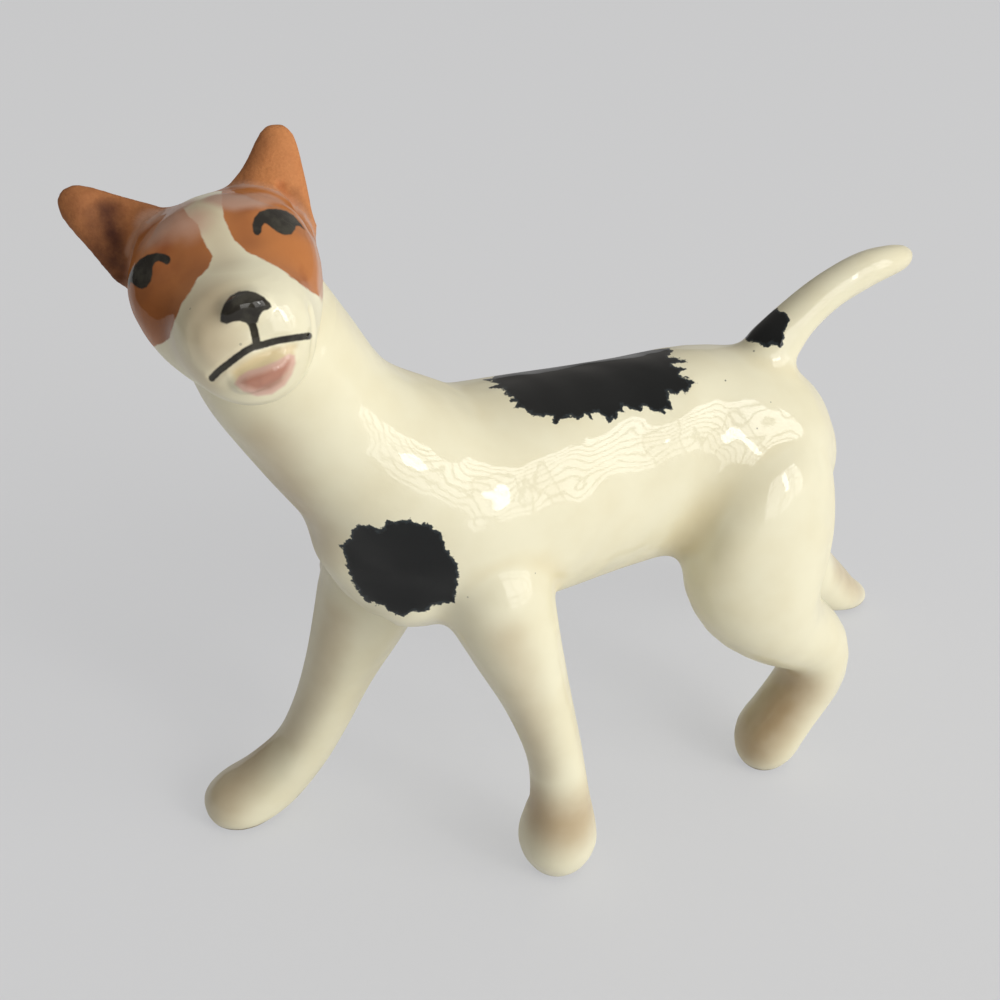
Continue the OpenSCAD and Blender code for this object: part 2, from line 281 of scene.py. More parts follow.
class Skin:
    """The glazed surface: its points in millimetres, its quads, and where the picture shows them."""

    def __init__(self, points, quads):
        self.points = points
        self.quads = quads
        self.splits = []
        self.measure()

    def measure(self):
        self.normals = normals_of(self.points, self.quads)
        for middle, ends in self.splits:
            self.points[middle] = self.points[ends].mean(1)
            mean = self.normals[ends].mean(1)
            self.normals[middle] = mean / np.linalg.norm(mean, axis=1)[:, None]
        self.picture, self.depth = in_picture(self.points)
        to_camera = camera_place - self.points
        to_camera /= np.linalg.norm(to_camera, axis=1)[:, None]
        self.facing = np.einsum("ij,ij->i", self.normals, to_camera)

    def cut_finer(self, fine, names, values):
        """Cuts the chosen quads into four. Quads beside them keep the new points on their sides."""
        whole = len(self.points)
        table, quads, sides = refined(np.concatenate([self.points, values], 1), self.quads, fine)
        self.points = table[:, :3]
        self.quads = quads
        lone = one_sided(quads)
        middle = lone[lone >= whole]
        self.splits.append((middle, sides[middle - whole]))
        self.measure()
        return np.concatenate([names[~fine], np.tile(names[fine], 4)]), table[:, 3:]

    def fill(self, share, rounds):
        """Fills hollows with slip, by each point's share."""
        edges, count = neighbourhood(self.quads, len(self.points))
        for _ in range(rounds):
            away = neighbour_mean(self.points, edges, count) - self.points
            rise = np.einsum("ij,ij->i", away, self.normals)
            self.points = self.points + self.normals * (share * np.maximum(rise, 0))[:, None]
        self.measure()

    def draw_in(self, box, reach=4.0):
        """Draws the surface in, softly, where it stands out of a box given in metres."""
        for side, way in ((0, -1), (1, 1)):
            for axis in range(3):
                out = way * (self.points[:, axis] - box[side][axis] / MM)
                if out.max() > 0:
                    self.points[:, axis] -= way * (out.max() + 0.02) * falloff(out.max() - out, reach)
        self.measure()

    def even_normals(self, share, rounds):
        """Normals that pass over the facets of the form underneath, by each point's share."""
        edges, count = neighbourhood(self.quads, len(self.points))
        even = self.normals
        for _ in range(rounds):
            mean = neighbour_mean(even, edges, count)
            even = even + share[:, None] * (mean - even)
        even = even / np.linalg.norm(even, axis=1)[:, None]
        for middle, ends in self.splits:
            mean = even[ends].mean(1)
            even[middle] = mean / np.linalg.norm(mean, axis=1)[:, None]
        return even

    def seen(self, cell=8, slack=5):
        """How far the camera sees each point: 0 behind something or turned away, 1 in full view."""
        place = np.clip((self.picture // cell).astype(int), 0, PICTURE_PX // cell)
        front = np.full((PICTURE_PX // cell + 3,) * 2, 1e9)
        np.minimum.at(front, (place[:, 0] + 1, place[:, 1] + 1), self.depth)
        nearest = np.min([front[place[:, 0] + 1 + i, place[:, 1] + 1 + j]
                          for i in (-1, 0, 1) for j in (-1, 0, 1)], axis=0)
        open_view = self.depth < nearest + slack
        return open_view * np.clip((self.facing + 0.06) / 0.12, 0, 1)

    def under(self, picture_line):
        """The places on the seen surface under points of the picture, and the mean normal there."""
        found = []
        for place in picture_line:
            off = np.linalg.norm(self.picture - place, axis=1)
            near = np.flatnonzero(off < max(4, off.min() + 1))
            near = near[self.depth[near] < self.depth[near].min() + 2]
            found.append(near[np.argmin(off[near])])
        mean = self.normals[found].mean(0)
        return self.points[found], mean / np.linalg.norm(mean)

    def push(self, picture_line, reach, height):
        """Raises or sinks the surface along a line, as a modelling tool does."""
        line, normal = self.under(picture_line)
        if len(line) == 1:
            line = np.concatenate([line, line + 0.01])
        amount = height * falloff(line_distance(self.points, line), reach)
        amount *= np.clip(self.normals @ normal * 1.6, 0, 1)
        self.points = self.points + self.normals * amount[:, None]

    def stroke(self, picture_line, radius):
        """The distance in from the edge of a brush stroke of that radius."""
        off = line_distance(self.picture, curved(picture_line)) * self.depth / FOCAL_PX
        return radius - off

    def patch(self, outline, places=None):
        """The distance in from a patch's outline in the picture, in millimetres."""
        picture, depth = in_picture(self.points if places is None else places)
        return inside_distance(picture, outline) * depth / FOCAL_PX


def split_into_castings(skin, trees):
    """Names the casting under each quad, with one unbroken area for each casting."""
    reach = 4.0
    distances = np.full((len(skin.points), len(SLOTS)), reach)
    for column, node in enumerate(SLOTS):
        low, high = (np.array(corner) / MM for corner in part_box(node))
        near = np.flatnonzero(((skin.points > low - reach) & (skin.points < high + reach)).all(1))
        tree = trees[node]
        found = [tree.find_nearest(place)[3] for place in skin.points[near].tolist()]
        distances[near, column] = np.minimum(found, reach)
    edges, count = neighbourhood(skin.quads, len(skin.points))
    even = distances
    for _ in range(6):
        even = 0.5 * even + 0.5 * neighbour_mean(even, edges, count)
    names = np.argmin(even[skin.quads].mean(1), axis=1)
    return joined_areas(skin.quads, names), distances


def quad_neighbours(quads):
    """Pairs of quads that share a side."""
    sides = np.sort(np.concatenate([quads[:, [i, (i + 1) % 4]] for i in range(4)]), 1)
    owner = np.tile(np.arange(len(quads)), 4)
    order = np.lexsort((sides[:, 1], sides[:, 0]))
    sides, owner = sides[order], owner[order]
    same = (sides[1:] == sides[:-1]).all(1)
    return np.stack([owner[:-1][same], owner[1:][same]], 1)


def joined_areas(quads, names):
    """Keeps the largest area of each name, and gives the rest to what lies round it."""
    pairs = quad_neighbours(quads)
    alike = pairs[names[pairs[:, 0]] == names[pairs[:, 1]]]
    area = np.arange(len(quads))
    while True:
        lowest = np.minimum(area[alike[:, 0]], area[alike[:, 1]])
        new = area.copy()
        np.minimum.at(new, alike[:, 0], lowest)
        np.minimum.at(new, alike[:, 1], lowest)
        new = new[new]
        if (new == area).all():
            break
        area = new
    size = np.bincount(area, minlength=len(quads))
    kept = np.zeros(len(quads), bool)
    for name in np.unique(names):
        own = names == name
        kept |= area == area[own][np.argmax(size[area[own]])]
    names = np.where(kept, names, -1)
    while (names < 0).any():
        for a, b in (pairs.T, pairs[:, ::-1].T):
            lost = (names[a] < 0) & (names[b] >= 0)
            names[a[lost]] = names[b[lost]]
    return names


# Modelled forms, each as a line in the picture, its reach and its height in millimetres
BODY_FORMS = [
    ([(338, 556), (356, 580), (376, 596), (398, 608)], 8.0, 2.2),
    ([(428, 447), (470, 448), (520, 446), (570, 442)], 7.0, 0.35),
    ([(728, 408), (716, 450), (702, 495), (688, 540)], 6.0, -0.9),
    ([(806, 440), (796, 473), (773, 500), (750, 524), (735, 552)], 4.0, 0.5),
    ([(316, 575), (330, 590), (345, 601), (360, 612), (385, 621)], 2.0, -0.5),
    ([(356, 666), (322, 722), (291, 777)], 2.8, 0.75),
    ([(545, 640), (552, 700), (566, 760), (580, 800)], 3.0, 0.35),
    ([(545, 826), (565, 830), (588, 826)], 2.6, -0.25),
]
FACE_FORMS = [
    ([(255, 232), (268, 222), (300, 226)], 2.6, -0.2),
    ([(165, 262), (145, 270), (138, 286)], 2.6, -0.2),
    ([(212, 378), (228, 364), (251, 348), (276, 341), (311, 335)], 0.9, -0.22),
    ([(240, 371), (262, 358), (292, 349)], 1.5, -0.3),
    ([(243, 387), (258, 383), (275, 374), (290, 361)], 1.9, 0.42),
    ([(257, 309), (262, 305)], 1.5, 0.3),
    ([(231, 313), (236, 306)], 1.7, 0.3),
    ([(226, 341), (236, 345)], 4.0, 0.3),
    ([(283, 318), (292, 322)], 4.0, 0.3),
    ([(312, 312), (315, 330), (314, 348), (310, 366)], 1.3, -0.4),
    ([(113, 208), (110, 240), (116, 268)], 4.6, -1.1),
    ([(282, 186), (296, 203), (312, 231)], 1.1, -0.4),
]

# Outlines of the black patches in the picture. The saddle and the tail patch run on over the back.
SADDLE = [
    (478, 378), (497, 383.5), (489.5, 388), (505, 390.5), (503.5, 394.5), (512.5, 396.5), (510, 401),
    (516.5, 403), (514, 408), (522.5, 408.5), (524, 411), (533, 415), (539.5, 417), (553, 416),
    (552, 423), (556.5, 424), (563, 420), (571, 415.5), (577.5, 420), (584.5, 415), (587.5, 415),
    (594, 423.5), (591, 413.5), (597.5, 412.5), (612, 425), (613, 417.5), (616, 420), (618.5, 413),
    (624, 411.5), (623, 405), (632.5, 410), (640, 411.5), (643.5, 405.5), (652.5, 411), (664.5, 414),
    (666, 409.5), (673.5, 409.5), (670.5, 399.5), (668, 391.5), (677, 396), (681, 391.5), (688.5, 394),
    (689, 388.5), (697, 382.5), (690.5, 379), (679, 373.5), (686.5, 368.5), (672.5, 365), (691, 360.5),
    (669, 356.5), (672.5, 351.5), (668, 345), (650, 300), (480, 330), (470, 372)]
SHOULDER_PATCH = [
    (340, 545), (350, 538), (350, 530), (360, 524), (372, 525), (380, 530), (387, 520), (398, 521),
    (410, 519), (419, 523), (428, 522), (434, 529), (441, 532), (445, 542), (447, 549), (453, 557),
    (458, 565), (459, 578), (456, 590), (455, 603), (444, 603), (434, 606), (424, 613), (412, 612),
    (404, 617), (388, 613), (384, 606), (366, 602), (360, 594), (353, 583), (348, 572), (345, 558)]
SHOULDER_CENTRE = (400, 568)
SHOULDER_REACH = 26
TAIL_PATCH = [
    (742, 335), (747, 342), (756, 343), (767, 348), (773, 344), (781, 348), (785, 340), (786, 330),
    (790, 321), (787, 314), (777, 309), (745, 290), (725, 320)]

# Outlines of the face masks, which run on over the ears' roots
RIGHT_MASK = [
    (180, 204), (188, 215), (198, 225), (202, 237), (207, 248), (213, 256), (208, 268), (198, 278),
    (190, 292), (182, 304), (176, 318), (172, 330), (170, 338), (163, 343), (140, 352), (60, 330),
    (30, 180), (100, 160), (170, 180)]
LEFT_MASK = [
    (222, 205), (224, 217), (228, 229), (235, 241), (248, 252), (264, 260), (279, 268), (293, 278),
    (307, 289), (319, 297), (322, 286), (327, 262), (335, 200), (330, 90), (220, 90)]

# Brush strokes of the face: the mouth and the stem under the nose, each with its radius
FACE_STROKES = [
    ([(212, 378), (219, 371), (228, 364), (240, 355), (251, 348), (262, 345), (276, 341), (294, 338),
      (308.5, 336)], 0.37),
    ([(250, 318), (254, 330), (257, 346)], 0.42),
]
LEFT_EYE = [
    (253.1, 231.6), (252.3, 224.7), (254.3, 217.7), (259.5, 211.8), (267.4, 209.0), (277.2, 208.8),
    (286.1, 210.8), (294, 215.8), (300, 222.7), (305.4, 230), (299.5, 226), (295.8, 225.9),
    (295, 229.6), (291.1, 234.4), (284.2, 235), (278.2, 232.6), (272.3, 228.2), (267.4, 224.3),
    (264.4, 223.3), (261.8, 226.6), (261.2, 232.4), (258.5, 235.2), (255.1, 234.8)]
RIGHT_EYE = [
    (170.7, 259.3), (169.6, 263.2), (166.5, 264.8), (162.6, 262.4), (158.6, 260.9), (155, 262.4),
    (152.5, 267.2), (152.4, 274.1), (150.7, 281), (146.8, 286.9), (141.8, 288.9), (136.9, 287.2),
    (132.9, 283.6), (130.6, 282), (128.8, 288.5), (127.6, 282), (129.2, 274.1), (133.7, 266.2),
    (139.8, 259.3), (147.7, 254.7), (156.6, 252.7), (164.6, 253.9), (169.5, 256.3)]
NOSE_OUTLINE = [
    (220, 322), (220.5, 314), (224, 304), (230, 296), (238, 291.5), (247, 290.5), (256, 292.5),
    (264, 297), (270, 303), (271.5, 307), (268, 309.5), (263, 311), (259.5, 316), (257.5, 323),
    (248.5, 326), (246, 323), (240, 321), (233, 321.5), (227, 324)]
LIP_OUTLINE = [
    (234.5, 384), (239, 376.5), (248, 371), (262, 367), (277, 361), (289, 354), (294.5, 355.5),
    (295.5, 363), (292, 374), (285, 385), (272, 394), (257, 396), (243.5, 391.5)]
GUM_OUTLINE = [
    (232, 372), (240, 364), (253, 356), (268, 350), (286, 346), (296, 345), (293, 354), (280, 361),
    (264, 369), (248, 375), (237, 381)]

# Brown stains in the glaze on the feet, with painted shade in the same brown down the shaded left sides of
# the legs and feet, on the neck, and on the muzzle and blaze: lines, reach in millimetres, strength
STAINS_AND_PAINTED_SHADE = [
    ([(538, 814), (556, 824), (576, 820)], 8.5, 0.58),
    ([(262, 745), (242, 772), (226, 795)], 7.0, 0.50),
    ([(285, 735), (258, 765), (238, 790)], 4.0, 0.25),
    ([(336, 620), (316, 690), (290, 735)], 4.5, 0.30),
    ([(792, 688), (768, 722), (750, 742)], 7.5, 0.68),
    ([(838, 566), (858, 588)], 4.5, 0.40),
    ([(268, 445), (288, 490), (318, 540)], 6.5, 0.34),
    ([(176, 352), (205, 378)], 4.0, 0.25),
    ([(208, 300), (206, 322), (213, 345)], 5.5, 0.5),
    ([(200, 204), (212, 226), (224, 262)], 3.6, 0.36),
    ([(508, 640), (522, 690), (540, 770)], 4.5, 0.24),
]

# Small dark specks in the glaze: place in the picture, radius in millimetres, strength
SPECKS = [
    ((754, 351), 0.20, 0.6), ((725, 382), 0.17, 0.8), ((772, 402), 0.14, 0.5), ((757, 428), 0.16, 0.6),
    ((241, 345), 0.20, 0.35), ((190, 309), 0.18, 0.35), ((536, 573), 0.14, 0.5), ((468, 596), 0.16, 0.4)]

# The milky bands where the glaze thins out round the ears, with a painted reflection over them, and the
# painted shade in the ears' hollows and on the shaded parts of the brown masks
EAR_BANDS_AND_SHEEN = [
    ([(218, 197), (233, 200), (252, 199), (272, 197)], 3.0, 0.95),
    ([(272, 197), (288, 206), (303, 219)], 1.4, 0.85),
    ([(303, 219), (314, 238), (320, 262), (321, 290)], 2.0, 0.9),
    ([(178, 208), (162, 212), (149, 219)], 3.6, 0.95),
    ([(190, 222), (170, 224), (152, 234)], 4.4, 0.6),
    ([(149, 219), (136, 232), (128, 252)], 1.4, 0.7),
]
PAINTED_EAR_AND_MASK_SHADE = [
    ([(108, 212), (112, 238), (116, 262)], 3.4, 1.0),
    ([(98, 222), (106, 258), (120, 282)], 4.4, 0.8),
    ([(68, 205), (84, 226), (100, 250)], 5.0, 0.5),
    ([(70, 198), (110, 200), (150, 214)], 9.0, 0.38),
    ([(262, 142), (252, 160), (240, 184)], 2.2, 0.34),
    ([(296, 192), (308, 214)], 1.2, 0.3),
    ([(146, 296), (156, 314), (166, 332)], 5.5, 0.7),
    ([(178, 236), (192, 250), (196, 266)], 4.4, 0.5),
    ([(240, 210), (244, 224), (247, 240)], 2.6, 0.5),
]


def turned_away(skin):
    """How far in from the edge of what the picture shows each point lies, in millimetres."""
    return 14 * (skin.facing + 0.22)


def black_patches(skin):
    """The black paint. The saddle and the tail patch run on over the middle of the back."""
    seen = skin.seen()
    far = skin.points.copy()
    far[:, 1] = MIDDLE_Y - np.abs(far[:, 1] - MIDDLE_Y)
    over_back = [seen * skin.patch(outline) + (1 - seen) * skin.patch(outline, far)
                 for outline in (SADDLE, TAIL_PATCH)]
    centre = skin.under([SHOULDER_CENTRE])[0]
    round_centre = SHOULDER_REACH - np.linalg.norm(skin.points - centre, axis=1)
    turned = 12 * (skin.facing + 0.35)
    return np.max(over_back + [np.min([skin.patch(SHOULDER_PATCH), round_centre, turned], axis=0)], axis=0)


def picture_bands(skin, table):
    """Soft bands along lines of the picture, from 0 to 1. Each has its reach and its strength."""
    return np.max([strength * falloff(line_distance(skin.points, skin.under(line)[0]), reach)
                   for line, reach, strength in table], axis=0)


def painted(skin, distances):
    """The coats of colour, as distances in from their edges in millimetres, and shades from 0 to 1."""
    node_distance = dict(zip(SLOTS, distances.T))
    ears = np.minimum(node_distance["ear_left"], node_distance["ear_right"])
    shown = turned_away(skin)
    on_head = np.minimum(shown, 4 * (2.5 - np.minimum(node_distance["head"], ears)))
    on_face = np.minimum(shown, 4 * (2.0 - node_distance["head"]))
    mask = np.maximum(skin.patch(RIGHT_MASK), skin.patch(LEFT_MASK))
    lines = [skin.stroke(*stroke) for stroke in FACE_STROKES]
    shapes = [skin.patch(outline) for outline in (LEFT_EYE, RIGHT_EYE, NOSE_OUTLINE)]
    return {
        "black_coat": black_patches(skin),
        "brown_coat": np.maximum(np.minimum(on_head, mask), 3.0 - ears),
        "line_coat": np.minimum(on_face, np.max(lines + shapes, axis=0)),
        "lip_coat": np.minimum(on_face, skin.patch(LIP_OUTLINE)),
        "gum_coat": np.minimum(on_face, skin.patch(GUM_OUTLINE)),
        "ear_band_and_sheen": np.maximum(picture_bands(skin, EAR_BANDS_AND_SHEEN),
                               0.6 * falloff(np.maximum(ears, node_distance["head"]), 2.0)),
        "stain_and_shade": picture_bands(skin, STAINS_AND_PAINTED_SHADE),
        "painted_ear_shade": picture_bands(skin, PAINTED_EAR_AND_MASK_SHADE),
    }


def closing_rings(faces):
    """Closed rings of points round the open sides of an area."""
    onward = {}
    sides = set()
    for face in faces:
        sides.update(zip(face, face[1:] + face[:1]))
    for a, b in sides:
        if (b, a) not in sides:
            onward.setdefault(a, []).append(b)
    rings = []
    while onward:
        start = min(onward)
        ring = [start]
        while True:
            following = onward[ring[-1]]
            step = following.pop()
            if not following:
                del onward[ring[-1]]
            if step == start:
                break
            ring.append(step)
        rings.append(ring)
    return rings


def whole_faces(skin, quads):
    """The quads as lists of points, with the points that finer neighbours put on their sides."""
    halves = {}
    for middle, ends in skin.splits:
        for m, (a, b) in zip(middle.tolist(), ends.tolist()):
            halves[a, b] = halves[b, a] = m
    marked = np.zeros(len(skin.points), bool)
    for _, ends in skin.splits:
        marked[ends] = True
    beside = marked[quads].sum(1) > 1

    def along(a, b):
        if (a, b) in halves:
            m = halves[a, b]
            return along(a, m) + along(m, b)
        return [a]

    faces = quads[~beside].tolist()
    for a, b, c, d in quads[beside].tolist():
        faces.append(along(a, b) + along(b, c) + along(c, d) + along(d, a))
    return faces


# The wall inside a piece's opening and the hollow of its cap, in millimetres
WALL_DEPTH = 1.4
CAP_DEPTH = 3.0


def casting_piece(node, skin, quads, coats, shading, material):
    """One casting's share of the skin, closed where it is luted to its neighbours."""
    faces = whole_faces(skin, quads)
    used = np.unique(np.concatenate([np.asarray(face) for face in faces]))
    local = np.zeros(len(skin.points), int)
    local[used] = np.arange(len(used))
    local = local.tolist()
    faces = [[local[i] for i in face] for face in faces]
    points = skin.points[used]
    normals = shading[used]
    added = []
    like = []
    for ring in closing_rings(faces):
        first = len(points) + len(like)
        inner = points[ring] - WALL_DEPTH * skin.normals[used][ring]
        middle = inner.mean(0) - CAP_DEPTH * skin.normals[used][ring].mean(0)
        added += [inner, middle[None]]
        like += ring + ring[:1]
        count = len(ring)
        for i in range(count):
            j = (i + 1) % count
            faces.append([ring[j], ring[i], first + i, first + j])
            faces.append([first + j, first + i, first + count])
    if added:
        points = np.concatenate([points] + added)
        normals = np.concatenate([normals, normals[like]])
    mesh = bpy.data.meshes.new(node)
    mesh.from_pydata((points * MM).tolist(), [], faces)
    for name, values in coats.items():
        own = values[used]
        attribute = mesh.attributes.new(name, "FLOAT", "POINT")
        attribute.data.foreach_set("value", np.concatenate([own, own[like]]))
    mesh.polygons.foreach_set("use_smooth", [True] * len(faces))
    mesh.update()
    mesh.normals_split_custom_set_from_vertices(normals.tolist())
    mesh.materials.append(material)
    piece = bpy.data.objects.new(node + "_casting", mesh)
    bpy.context.scene.collection.objects.link(piece)
    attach(piece, "root")
    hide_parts(node)
    return piece


def slip_shares(distances):
    """How freely slip fills the hollows: most under the jaw and round the ears, least at nose and lip."""
    node = dict(zip(SLOTS, distances.T))
    ears = np.minimum(node["ear_left"], node["ear_right"])
    sprigs = np.minimum(node["nose"], node["lower_lip"])
    jaw = np.where((node["head"] < 3.9) & (node["body"] < 3.9), 1.0, 0.0)
    share = np.maximum(0.35, jaw)
    share = np.where(ears < 3.9, 1.0, share)
    return share * np.clip(sprigs / 2 - 0.5, 0, 1)


def linear(red, green, blue):
    """A colour as a shader wants it, from its values as seen, 0 to 255."""
    return tuple(((v / 255 + 0.055) / 1.055) ** 2.4 if v > 10 else v / 255 / 12.92
                 for v in (red, green, blue)) + (1.0,)


# The colours of the glazes, the paints, the ears' clay and the floor, as seen, some of them laid on as
# painted shade or painted reflection
CREAM = linear(233, 229, 203)
# Glaze pooled in the hollows, darkened further there as painted shade
CREAM_POOLED_AND_SHADED = linear(216, 204, 166)
CREAM_CLOUD = linear(224, 217, 186)
BLACK_PAINT = linear(13, 16, 17)
BLACK_PAINT_THIN = linear(44, 52, 56)
BROWN_PAINT = linear(184, 117, 65)
BROWN_PAINT_THICK = linear(156, 90, 48)
MASK_SHADE = linear(112, 58, 30)
LINE_PAINT = linear(38, 35, 30)
LINE_PAINT_THIN = linear(60, 58, 50)
LIP_PINK = linear(174, 126, 108)
LIP_PALE = linear(212, 176, 160)
GUM_YELLOW = linear(214, 194, 150)
# Brown of the real stains, used also for painted shade
STAIN_AND_SHADE_BROWN = linear(158, 122, 78)
# Bare clay of the soles, used also as the painted shade inside the vent
BARE_CLAY_AND_VENT_SHADE = linear(104, 84, 56)
EAR_CLAY = linear(182, 112, 64)
EAR_CLAY_WORN = linear(200, 134, 82)
EAR_SHADOW = linear(72, 34, 19)
# Milky glaze edge round the ears, partly a painted reflection
EAR_EDGE_AND_SHEEN = linear(192, 154, 134)
FLOOR_WHITE = linear(243, 244, 247)
FLOOR_GREY = linear(206, 207, 209)

# The shares of even grey that the camera and the glaze see in the floor
WATCHED_GLOW = 0.7
MIRRORED_GLOW = 0.35


class Finish:
    """A node material built step by step. Every value is a number, a colour or another node's output."""

    def __init__(self, name):
        self.material = bpy.data.materials.new(name)
        self.material.use_nodes = True
        self.tree = self.material.node_tree
        self.shader = self.tree.nodes["Principled BSDF"]
        place = self.add("ShaderNodeTexCoord")
        mapping = self.add("ShaderNodeMapping", {"Vector": place.outputs["Object"]})
        mapping.inputs["Scale"].default_value = (1 / MM, 1 / MM, 1 / MM)
        self.place = mapping.outputs[0]

    def add(self, kind, values=None, **settings):
        node = self.tree.nodes.new(kind)
        for name, value in settings.items():
            setattr(node, name, value)
        for name, value in (values or {}).items():
            self.feed(node.inputs[name], value)
        return node

    def feed(self, socket, value):
        if isinstance(value, bpy.types.NodeSocket):
            self.tree.links.new(value, socket)
        else:
            socket.default_value = value

    def coat(self, name):
        return self.add("ShaderNodeAttribute", attribute_name=name).outputs["Fac"]

    def noise(self, size, detail=3, roughness=0.5, place=None):
        """Noise from 0 to 1 with features of a size in millimetres."""
        return self.add("ShaderNodeTexNoise", {
            "Vector": place or self.place, "Scale": 1 / size, "Detail": detail,
            "Roughness": roughness}).outputs[0]

    def sum(self, a, b, share=1.0):
        """a plus a share of b."""
        return self.add("ShaderNodeMath", {0: b, 1: share, 2: a}, operation="MULTIPLY_ADD").outputs[0]

    def times(self, a, b):
        return self.add("ShaderNodeMath", {0: a, 1: b}, operation="MULTIPLY").outputs[0]

    def ramp(self, value, start, end, low=0.0, high=1.0):
        return self.add("ShaderNodeMapRange", {0: value, 1: start, 2: end, 3: low, 4: high},
                        interpolation_type="SMOOTHSTEP").outputs[0]

    def mix(self, share, a, b):
        return self.add("ShaderNodeMix", {0: share, 6: a, 7: b}, data_type="RGBA").outputs[2]

    def blend(self, share, a, b):
        return self.add("ShaderNodeMix", {0: share, 2: a, 3: b}, data_type="FLOAT").outputs[0]

    def bump(self, height, distance, under=None):
        values = {"Height": height, "Distance": distance * MM, "Strength": 1.0}
        if under is not None:
            values["Normal"] = under
        return self.add("ShaderNodeBump", values).outputs[0]

    def set(self, **values):
        for name, value in values.items():
            self.feed(self.shader.inputs[name.replace("_", " ")], value)


def glazed_earthenware(specks):
    """Cream glaze over painted decoration, glossy and a little wavy, with painted shade in its hollows, on
    its shaded sides and in the vent.
    """
    finish = Finish("glazed_earthenware")
    cloud = finish.noise(9, 3)
    mottle = finish.noise(1.6, 4)
    bristle = finish.noise(0.55, 3, 0.6)
    # Pooled glaze in the hollows, which also stands as painted shade there
    pool_and_shade = finish.sum(finish.coat("hollow"), cloud, 0.35)
    colour = finish.mix(finish.ramp(pool_and_shade, 0.05, 0.85), CREAM, CREAM_POOLED_AND_SHADED)
    colour = finish.mix(finish.ramp(cloud, 0.35, 0.75, 0, 0.45), colour, CREAM_CLOUD)
    # Brown stains on the feet, and painted shade on the sides turned from the light
    stain_and_shade = finish.times(finish.coat("stain_and_shade"), finish.ramp(cloud, 0.25, 0.7, 0.8, 1.1))
    colour = finish.mix(stain_and_shade, colour, STAIN_AND_SHADE_BROWN)
    gum = finish.ramp(finish.coat("gum_coat"), -0.5, 0.4, 0, 0.8)
    colour = finish.mix(gum, colour, GUM_YELLOW)
    brown_edge = finish.sum(finish.sum(finish.coat("brown_coat"), mottle, 0.35), bristle, 0.12)
    brown_share = finish.ramp(brown_edge, 0.12, 0.36)
    brown = finish.mix(finish.ramp(finish.noise(4.5, 3), 0.42, 0.85), BROWN_PAINT, BROWN_PAINT_THICK)
    # Painted shade over the shaded parts of the brown masks
    brown = finish.mix(finish.times(finish.coat("painted_ear_shade"), 0.75), brown, MASK_SHADE)
    colour = finish.mix(brown_share, colour, brown)
    # Milky glaze edge round the ears, partly a painted reflection
    band_and_sheen = finish.ramp(finish.sum(finish.coat("ear_band_and_sheen"), mottle, 0.2), 0.15, 0.85, 0, 0.88)
    colour = finish.mix(band_and_sheen, colour, EAR_EDGE_AND_SHEEN)
    lip_share = finish.ramp(finish.coat("lip_coat"), -0.22, 0.2)
    lip = finish.mix(finish.ramp(finish.coat("lip_coat"), 0.15, 1.0), LIP_PALE, LIP_PINK)
    colour = finish.mix(lip_share, colour, lip)
    teeth = finish.noise(0.8, 3, 0.6)
    black_edge = finish.sum(finish.sum(finish.coat("black_coat"), mottle, 0.2), teeth, 1.2)
    black_share = finish.ramp(black_edge, 0.66, 0.82)
    black = finish.mix(finish.ramp(black_edge, 0.75, 1.25), BLACK_PAINT_THIN, BLACK_PAINT)
    colour = finish.mix(black_share, colour, black)
    line_edge = finish.sum(finish.coat("line_coat"), bristle, 0.12)
    line_share = finish.ramp(line_edge, -0.06, 0.17)
    line = finish.mix(finish.ramp(mottle, 0.4, 0.7), LINE_PAINT, LINE_PAINT_THIN)
    colour = finish.mix(line_share, colour, line)
    for place, radius, strength in specks:
        away = finish.add("ShaderNodeVectorMath", {0: finish.place, 1: tuple(place)},
                          operation="DISTANCE").outputs["Value"]
        colour = finish.mix(finish.ramp(away, radius, radius * 0.5, 0, strength), colour, BLACK_PAINT_THIN)
    height = finish.add("ShaderNodeSeparateXYZ", {"Vector": finish.place}).outputs["Z"]
    rim = finish.ramp(finish.sum(height, mottle, -0.9), 0.95, 0.4, 0, 0.75)
    colour = finish.mix(rim, colour, BARE_CLAY_AND_VENT_SHADE)
    # The vent's dimple painted dark, as the shade inside the open hole
    colour = finish.mix(finish.coat("vent"), colour, BARE_CLAY_AND_VENT_SHADE)
    roughness = finish.blend(finish.ramp(cloud, 0.3, 0.7), 0.3, 0.4)
    roughness = finish.blend(rim, roughness, 0.8)
    runs = finish.sum(finish.noise(11, 1.2), finish.noise(4.5, 1), 0.1)
    waves = finish.bump(finish.times(runs, finish.coat("flow")), 1.5)
    dimples = finish.bump(finish.noise(1.1, 2), 0.006, waves)
    grazing = finish.ramp(finish.add("ShaderNodeLayerWeight", {"Blend": 0.5}).outputs["Facing"], 0.6, 0.95)
    gloss = finish.blend(grazing, finish.blend(black_share, 1.0, 0.95), 0.4)
    finish.set(Base_Color=colour, Roughness=roughness, IOR=1.45, Coat_Weight=finish.blend(rim, gloss, 0.0),
               Coat_Roughness=0.05, Coat_IOR=1.42, Coat_Normal=dimples, Specular_IOR_Level=0.0)
    return finish.material


